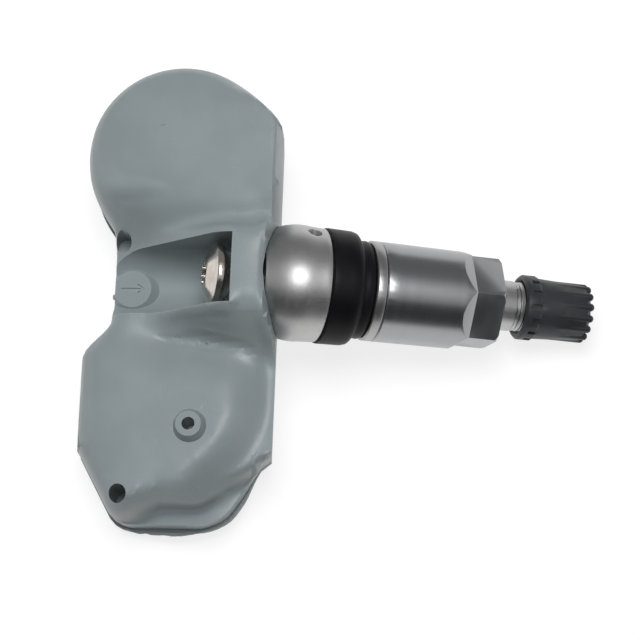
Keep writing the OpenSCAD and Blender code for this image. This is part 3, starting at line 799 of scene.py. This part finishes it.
def inner_edges(mesh: Mesh, zone: set[Face]) -> list[bmesh.types.BMEdge]:
    """Finds the edges that lie between two faces of a zone."""
    return [e for e in mesh.edges if len(e.link_faces) == 2 and all(f in zone for f in e.link_faces)]


@dataclass
class Housing(SubAssembly):
    """Moulded shell with its welded base cover.

    Places and lengths are in millimetres of the housing's drawing. The moulding's skin is found
    from a seed, split finely and moved to the smoothed heights; the ledge at the chamfered end is
    rounded by itself.
    """

    skin_seed_mm: Span = (-18.0, 22.0)
    skin_angle_deg: float = 26.0
    skin_least_up: float = 0.2
    skin_edge_mm: float = 0.7
    split_rounds: int = 4
    smooth_mm: Place = (0.8, 1.8, 3.2)
    move_limit_mm: float = 0.7
    crisp_angle_deg: float = 38.0

    groove_half_mm: float = 5.45
    groove_mouth_mm: Span = (-8.0, 12.5)
    wall_edge_mm: float = -3.6
    kept_round_mm: tuple[Place, ...] = (
        (-14.8, -23.5, 2.8), (-27.4, 6.8, 1.25), (-25.5, -33.9, 1.25)
    )

    fold_y_mm: float = 7.5
    fold_slope: float = 0.06
    fold_depth_mm: float = 0.55
    fold_widths_mm: Span = (0.9, 2.6)

    ledge_from_mm: float = -22.0
    ledge_margin_mm: float = 1.5
    ledge_z_mm: float = 4.0
    ledge_least_up: Span = (0.05, 0.4)
    ledge_passes: int = 10

    cover_top_mm: float = 1.8
    rim_angle: float = 0.5
    rim_reach_mm: float = 0.03
    centre_mm: Span = (-18.2, -1.0)
    bead_mm: float = 0.16
    bead_in_mm: float = 0.3
    bead_sides: int = 8
    bead_step_mm: float = 0.22
    flash_mm: float = 0.55
    flash_drop_mm: float = 0.5

    gate_at_mm: Place = (-29.15, -0.6, 3.6)
    gate_r_mm: float = 0.55
    gate_sides: int = 14
    gate_rows: int = 4
    gate_seed: int = 11

    DRESS: ClassVar[Dressing] = {
        "base_cover": ("cover_plastic", Edge.MOULDED),
    }

    def make(self) -> list[Piece]:
        """Builds the moulded skin, the weld bead along the seam and the stub of the mould's gate.

        Returns:
            The new pieces.
        """
        return [self._moulding(), self._weld_bead(), self._gate()]

    def _is_cut(self, place: Vector) -> bool:
        """Tells whether a place is in the groove or a hole, on the port's cone or at the wall's edge."""
        mouth_x, mouth_z = self.groove_mouth_mm
        in_groove = abs(place.y) < self.groove_half_mm and place.x < mouth_x and place.z < mouth_z
        on_round = any(math.hypot(place.x - x, place.y - y) < r for x, y, r in self.kept_round_mm)
        return place.x > self.wall_edge_mm or in_groove or on_round

    def _in_drawing(self, name: str) -> Mesh:
        """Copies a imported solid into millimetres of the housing's drawing, with its doubled points merged."""
        mesh = bmesh.new()
        mesh.from_mesh(self.nodes[name].data)
        for vertex in mesh.verts:
            vertex.co = REST.to_housing(vertex.co)
        bmesh.ops.remove_doubles(mesh, verts=mesh.verts, dist=WELD_MM)
        mesh.normal_update()
        return mesh

    def _skin_faces(self, mesh: Mesh, tree: BVHTree) -> set[int]:
        """Finds the top skin: what is reached from the round end without crossing a sharp edge.

        Args:
            mesh: The housing in millimetres of its drawing.
            tree: Its faces.

        Returns:
            Numbers of the skin's faces.
        """
        start = tree.ray_cast(Vector((*self.skin_seed_mm, RAY_FROM_MM)), DOWN)[2]
        found = {start}
        front = [mesh.faces[start]]
        limit = math.radians(self.skin_angle_deg)
        while front:
            face = front.pop()
            for edge in face.edges:
                if len(edge.link_faces) != 2 or edge.calc_face_angle(math.pi) > limit:
                    continue
                for other in edge.link_faces:
                    if other.index in found or other.normal.z < self.skin_least_up:
                        continue
                    if not self._is_cut(other.calc_center_median()):
                        found.add(other.index)
                        front.append(other)
        return found

    def _split_long(self, mesh: Mesh, inside: Callable[[Face], Any]) -> bool:
        """Splits the long edges between faces of a zone.

        Args:
            mesh: The housing.
            inside: Tells whether a face belongs to the zone.

        Returns:
            Whether there were any.
        """
        zone = {f for f in mesh.faces if inside(f)}
        long = [e for e in inner_edges(mesh, zone) if e.calc_length() > self.skin_edge_mm]
        if long:
            bmesh.ops.subdivide_edges(mesh, edges=long, cuts=1)
            bmesh.ops.triangulate(mesh, faces=[f for f in mesh.faces if len(f.verts) > 3 and inside(f)])
        return bool(long)

    def _refine(self, mesh: Mesh, layer: Layer) -> None:
        """Splits the long edges inside the skin and turns them for even triangles.

        Args:
            mesh: The housing.
            layer: Face layer that is 1 on the skin.
        """
        for _ in range(self.split_rounds):
            if not self._split_long(mesh, lambda face: face[layer]):
                break
            skin = [f for f in mesh.faces if f[layer]]
            bmesh.ops.beautify_fill(mesh, faces=skin, edges=inner_edges(mesh, set(skin)), method="ANGLE")

    def _moulding(self) -> Piece:
        """Builds the housing again with a fine flowing skin in place of its facets.

        Returns:
            The moulding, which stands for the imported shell.
        """
        mesh = self._in_drawing("housing_shell")
        for table in (mesh.verts, mesh.edges, mesh.faces):
            table.index_update()
            table.ensure_lookup_table()
        tree = BVHTree.FromBMesh(mesh)
        skin = self._skin_faces(mesh, tree)
        relief = SkinRelief()
        relief.measure(tree, skin)
        margin = relief.margin()
        layer = mesh.faces.layers.int.new("skin")
        for face in mesh.faces:
            middle = face.calc_center_median()
            inside = relief.look_up(margin, middle.x, middle.y)
            ledge = middle.y < self.ledge_from_mm and inside < self.ledge_margin_mm
            face[layer] = 1 if face.index in skin and not ledge else 0
        self._refine(mesh, layer)
        self._flow(mesh, layer, relief, margin)
        self._settle_ledge(mesh)
        for edge in mesh.edges:
            inner = all(f[layer] or self._on_ledge(f) for f in edge.link_faces)
            if not inner and edge.calc_face_angle(0.0) > math.radians(self.crisp_angle_deg):
                edge.smooth = False
        mesh.faces.layers.int.remove(layer)
        for vertex in mesh.verts:
            vertex.co = REST.from_housing(*vertex.co)
        log.info("skin: %d of %d faces, %d heights", len(skin), len(mesh.faces), int(relief.valid.sum()))
        piece = self._on_body(mesh, "housing_moulding", "housing_plastic")
        soften(piece, Edge.MOULDED)
        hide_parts("housing_shell")
        return piece

    def _on_body(self, mesh: Mesh, name: str, finish: str) -> Piece:
        """Turns a mesh into a piece of the housing."""
        return finished(mesh, name, self.finishes.get(finish), "sensor_body")

    def _on_ledge(self, face: Face) -> bool:
        """Tells whether a face belongs to the chamfered end's top, ledge or fold."""
        middle = face.calc_center_median()
        least_up = self.ledge_least_up[middle.x > self.wall_edge_mm]
        beside = Vector((min(middle.x, self.wall_edge_mm), middle.y, middle.z))
        at_end = middle.y < self.ledge_from_mm and middle.z > self.ledge_z_mm
        return at_end and face.normal.z > least_up and not self._is_cut(beside)

    def _settle_ledge(self, mesh: Mesh) -> None:
        """Rounds the fold above the low ledge by easing its points towards their neighbours.

        Args:
            mesh: The housing.
        """
        for _ in range(self.split_rounds):
            mesh.normal_update()
            if not self._split_long(mesh, self._on_ledge):
                break
        mesh.normal_update()
        zone = {f for f in mesh.faces if self._on_ledge(f)}
        loose = [v for v in mesh.verts if v.link_faces and all(f in zone for f in v.link_faces)]
        axes = {"use_axis_" + axis: True for axis in "xyz"}
        for _ in range(self.ledge_passes):
            bmesh.ops.smooth_vert(mesh, verts=loose, factor=0.5, **axes)

    def _flow(
        self, mesh: Mesh, layer: Layer, relief: SkinRelief, margin: np.ndarray
    ) -> None:
        """Moves the skin's points up or down to the smoothed heights, less near its borders.

        Args:
            mesh: The housing.
            layer: Face layer that is 1 on the skin.
            relief: The measured heights.
            margin: Distance of each point of the grid from the skin's border.
        """
        close, middle, wide = (relief.smooth(r) for r in self.smooth_mm)
        limit = self.move_limit_mm
        mesh.normal_update()
        for vertex in mesh.verts:
            if not all(f[layer] for f in vertex.link_faces):
                continue
            x, y, z = vertex.co
            inside = relief.look_up(margin, x, y)
            low = ease(-y, 19.0, 24.0)
            share = ease(inside, 0.3 + 1.5 * low, 2.1 + 2.0 * low) * ease(vertex.normal.z, 0.15, 0.45)
            dome = ease(y, 8.0, 14.0) * ease(inside, 1.2, 5.0)
            valley = ease(y, -22.0, -16.0) * ease(-y, 2.0, 6.0) * ease(x, -27.0, -21.0)
            fine = relief.look_up(close, x, y)
            broad = fine + (relief.look_up(middle, x, y) - fine) * max(valley, dome)
            goal = broad + (relief.look_up(wide, x, y) - broad) * dome
            fold = y - self.fold_y_mm + self.fold_slope * (x + 10.0)
            drop = math.exp(-((fold / self.fold_widths_mm[fold > 0.0]) ** 2)) * ease(x, -27.0, -14.0)
            goal -= self.fold_depth_mm * drop
            vertex.co.z = z + share * max(-limit, min(limit, goal - z))

    def _seam_line(self) -> list[Vector]:
        """Follows the cover's rim at its top, in millimetres of the housing's drawing.

        Returns:
            Points in order around the housing.
        """
        mesh = self._in_drawing("base_cover")
        rim = {
            e
            for e in mesh.edges
            if e.calc_face_angle(0.0) > self.rim_angle
            and all(abs(v.co.z - self.cover_top_mm) < self.rim_reach_mm for v in e.verts)
        }
        first = min((v for e in rim for v in e.verts), key=lambda v: (round(v.co.y, 3), v.co.x))
        corners, at, edge = [], first, None
        while at != first or not corners:
            corners.append(at.co.copy())
            edge = next((e for e in at.link_edges if e in rim and e != edge), None)
            at = edge.other_vert(at) if edge else first
        mesh.free()
        line = []
        for a, b in zip(corners, corners[1:] + corners[:1]):
            parts = max(1, round((b - a).length / self.bead_step_mm))
            line += [a.lerp(b, k / parts) for k in range(parts)]
        return line

    def _weld_bead(self) -> Piece:
        """Runs a thin uneven bead along the seam, where the cover was welded on.

        Returns:
            The bead.
        """
        centre = Vector(self.centre_mm)
        mesh = bmesh.new()
        rings = []
        for p in self._seam_line():
            inward = (centre - p.xy).normalized()
            flash = ease(p.x, -27.0, -22.5) * ease(-p.x, 11.5, 17.5) * ease(-p.y, 30.0, 34.0)
            swell = self._uneven(p, 0.9, 3.0) + 0.5 * self._uneven(p, 3.1, 7.0)
            reach = self.flash_mm * flash * (0.8 + 0.5 * self._uneven(p, 0.55, 11.0))
            r = self.bead_mm * (1.0 + 0.55 * swell + 1.5 * flash)
            base = p.xy + inward * (self.bead_in_mm - reach)
            height = self.cover_top_mm - self.flash_drop_mm * flash
            ring = []
            for out, up in circle(self.bead_sides):
                q = base - inward * (out * r)
                ring.append(mesh.verts.new(REST.from_housing(q.x, q.y, height + up * r)))
            rings.append(ring)
        bridge(mesh, rings, closed=True)
        bmesh.ops.recalc_face_normals(mesh, faces=mesh.faces)
        return self._on_body(mesh, "weld_bead", "seam_plastic")

    @staticmethod
    def _uneven(place: Vector, scale: float, layer: float) -> float:
        """Gives slow noise at a place of the seam.

        Args:
            place: The place in millimetres.
            scale: How fast it varies along the seam.
            layer: Height in the noise, which keeps one use apart from another.

        Returns:
            The noise, about -1 to 1.
        """
        return noise.noise(Vector((place.x * scale, place.y * scale, layer)))

    def _gate(self) -> Piece:
        """Leaves the broken stub where the plastic entered the mould, on the waist's side.

        Returns:
            The stub.
        """
        rng = random.Random(self.gate_seed)
        mesh = bmesh.new()
        rings = []
        for j in range(self.gate_rows):
            ring = []
            for side, up in circle(self.gate_sides):
                r = self.gate_r_mm * (1.0 - 0.12 * j) * (1.0 + 0.08 * rng.uniform(-1.0, 1.0))
                torn = 0.05 * rng.uniform(-1.0, 1.0) if j == self.gate_rows - 1 else 0.0
                x, y, z = self.gate_at_mm
                ring.append(mesh.verts.new(REST.from_housing(x - 0.16 * j + torn, y + r * side, z + r * up)))
            rings.append(ring)
        bridge(mesh, rings, closed=False)
        mesh.faces.new(rings[-1])
        mesh.faces.new(list(reversed(rings[0])))
        bmesh.ops.recalc_face_normals(mesh, faces=mesh.faces)
        return self._on_body(mesh, "gate_stub", "seam_plastic")


@dataclass
class Electronics(SubAssembly):
    """Cell, boards and sensor sealed inside the housing."""

    DRESS: ClassVar[Dressing] = {
        "circuit_board": ("board", Edge.ROUND),
        "coin_cell": ("cell_steel", Edge.SMALL),
        "cell_tab_top": ("tab_nickel", Edge.ROUND),
        "cell_tab_bottom": ("tab_nickel", Edge.ROUND),
        "pressure_chip": ("chip_black", Edge.SMALL),
        "control_chip": ("chip_black", Edge.SMALL),
        "crystal": ("tab_nickel", Edge.SMALL),
        "lf_coil": ("ferrite", Edge.SMALL),
        "rf_antenna": ("antenna_brass", Edge.ROUND),
        "capacitors": ("ceramic", Edge.ROUND),
        "port_seal": ("soft_rubber", Edge.ROUND),
        "port_filter": ("filter_white", Edge.ROUND),
    }


@dataclass
class Valve(SubAssembly):
    """Ball collar and stem, rubber seal, clamp screw and valve core."""

    DRESS: ClassVar[Dressing] = {
        "valve_stem": ("stem_aluminium", Edge.TURNED),
        "stem_seal": ("seal_rubber", Edge.MOULDED),
        "clamp_screw": ("screw_nickel", Edge.TURNED),
        "core_barrel": ("core_brass", Edge.SMALL),
        "core_gasket": ("gasket_red", Edge.ROUND),
        "core_pin": ("core_brass", Edge.ROUND),
    }

    pin_stroke_mm: float = 1.8

    def make(self) -> list[Piece]:
        """Builds the core's spring again as a piece of its own that rides on the valve.

        Returns:
            The new piece.
        """
        mesh = bmesh.new()
        mesh.from_mesh(self.nodes["core_spring"].data)
        bmesh.ops.remove_doubles(mesh, verts=mesh.verts, dist=WELD_MM * MM)
        along = [(v.co - REST.ball).dot(REST.axis) for v in mesh.verts]
        piece = finished(mesh, "core_coil", self.finishes.get("spring_steel"), "valve")
        foot = REST.ball + REST.axis * min(along)
        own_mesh(piece)
        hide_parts("core_spring")
        return [piece]


@dataclass
class NutAndCap(SubAssembly):
    """Union nut with its washer, and the dust cap with its disc."""

    DRESS: ClassVar[Dressing] = {
        "nut_washer": ("washer_steel", Edge.TURNED),
        "union_nut": ("nut_aluminium", Edge.TURNED),
        "cap_seal": ("soft_rubber", Edge.ROUND),
        "cap_shell": ("cap_plastic", Edge.SMALL),
    }


@dataclass
class Studio:
    """Pale floor, soft lamps and the camera at the photograph's angle."""

    camera_at: Place = (-0.013719, -0.110923, 0.416266)
    camera_turn_deg: Place = (14.7899, -2.0502, 2.0662)
    lens_mm: float = 151.875
    sensor_mm: float = 36.0
    aim: Place = (0.0, 0.0, 0.01)
    world_light: float = 0.16
    floor_drop_m: float = 0.0002
    floor_half_m: float = 2.0
    floor_matt: float = 0.86
    floor_glow: float = 0.8
    floor_shade: float = 0.25
    card_radius_m: float = 0.75
    card_half_m: float = 1.4
    card_steps: int = 24

    def build(self) -> None:
        """Builds the camera, the world, the lamps and the floor."""
        bpy.context.scene.view_settings.view_transform = "Standard"
        self._camera()
        self._world()
        self._floor()
        self._lamp("key_lamp", (-0.06, 0.1, 0.6), 0.3, 3.1).visible_glossy = False
        self._lamp("glint_lamp", (0.08, -0.01, 0.6), 0.24, 1.4).visible_diffuse = False
        self._card("dark_card", (31.0, 90.0), (0.05, 0.05, 0.052))
        self._card("overhead_card", (-28.0, 31.0), (0.42, 0.42, 0.43))
        self._card("far_card", (-92.0, -28.0), (0.22, 0.22, 0.225))
        log.info("studio built")

    def _camera(self) -> None:
        """Places the camera that was fitted to the photograph."""
        data = bpy.data.cameras.new("camera")
        data.sensor_width = self.sensor_mm
        data.lens = self.lens_mm
        data.clip_start = 0.01
        camera = bpy.data.objects.new("camera", data)
        camera.location = self.camera_at
        camera.rotation_euler = Euler([math.radians(v) for v in self.camera_turn_deg], "XYZ")
        bpy.context.scene.collection.objects.link(camera)
        bpy.context.scene.camera = camera

    def _world(self) -> None:
        """White to the camera and in reflections, softer as light."""
        world = bpy.data.worlds.new("studio")
        world.use_nodes = True
        world.node_tree.nodes.clear()
        g = Graph(world.node_tree)
        strength = g.math("MULTIPLY_ADD", g.seen(), 1.0 - self.world_light, self.world_light)
        background = g.add("Background", {"Color": (1.0, 1.0, 1.0, 1.0), "Strength": strength})
        g.add("OutputWorld", {"Surface": background.outputs["Background"]})
        bpy.context.scene.world = world

    def _floor(self) -> None:
        """Pale floor that keeps the sensor's shadow and otherwise meets the white background."""
        material, g = blank_material("floor_white")
        matt = g.add("BsdfDiffuse", {"Color": (*[self.floor_matt] * 3, 1.0)})
        glow = g.add("Emission", {"Color": (1.0, 1.0, 1.0, 1.0), "Strength": self.floor_glow})
        dimmed = g.add("BsdfDiffuse", {"Color": (*[self.floor_shade] * 3, 1.0)})
        bright = g.add("AddShader", {0: glow.outputs["Emission"], 1: dimmed.outputs["BSDF"]})
        surface = g.add("MixShader", {0: g.seen(), 1: matt.outputs["BSDF"], 2: bright.outputs["Shader"]})
        g.add("OutputMaterial", {"Surface": surface.outputs["Shader"]})
        mesh = bmesh.new()
        bmesh.ops.create_grid(mesh, x_segments=2, y_segments=2, size=self.floor_half_m)
        floor = new_object(mesh, "floor", material)
        floor.location = (0.0, 0.0, -self.floor_drop_m)

    def _lamp(self, name: str, at: Place, size: float, watts: float) -> Piece:
        """Adds a soft square lamp that looks at the sensor.

        Args:
            name: The lamp's name.
            at: Its place.
            size: Its side in metres.
            watts: Its power.

        Returns:
            The lamp.
        """
        data = bpy.data.lights.new(name, "AREA")
        data.size = size
        data.energy = watts
        lamp = bpy.data.objects.new(name, data)
        lamp.location = at
        lamp.rotation_euler = (Vector(at) - Vector(self.aim)).to_track_quat("Z", "Y").to_euler()
        bpy.context.scene.collection.objects.link(lamp)
        return lamp

    def _card(self, name: str, span_deg: tuple[float, float], colour: Rgb) -> None:
        """Adds a curved card that shows only in reflections, as the dark side of a studio does.

        Args:
            name: The card's name.
            span_deg: Where it starts and ends, from straight up towards -Y.
            colour: Its colour as the metal sees it.
        """
        material, g = blank_material(name)
        glow = g.add("Emission", {"Color": (*colour, 1.0), "Strength": 1.0})
        g.add("OutputMaterial", {"Surface": glow.outputs["Emission"]})
        mesh = bmesh.new()
        start, end = span_deg
        rows = []
        for i in range(self.card_steps + 1):
            a = math.radians(start + (end - start) * i / self.card_steps)
            y, z = -math.sin(a) * self.card_radius_m, math.cos(a) * self.card_radius_m
            rows.append([mesh.verts.new((x, y, z)) for x in (-self.card_half_m, self.card_half_m)])
        for low, high in zip(rows, rows[1:]):
            mesh.faces.new((low[0], low[1], high[1], high[0]))
        card = new_object(mesh, name, material)
        for kind in ("camera", "diffuse", "transmission", "shadow"):
            setattr(card, "visible_" + kind, False)


def main() -> None:
    """Builds the looks in order: frame, studio, finishes, then each sub-assembly."""
    logging.basicConfig(level=logging.INFO, format="%(name)s: %(message)s")
    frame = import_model()
    Studio().build()
    finishes = Finishes(Effects())
    for kind in (Housing, Electronics, Valve, NutAndCap):
        part = kind(frame["nodes"], finishes)
        part.dress_nodes()
        for piece in part.make():
            log.info("%s made for %s", piece.name, kind.__name__)


if __name__ == "__main__":
    main()
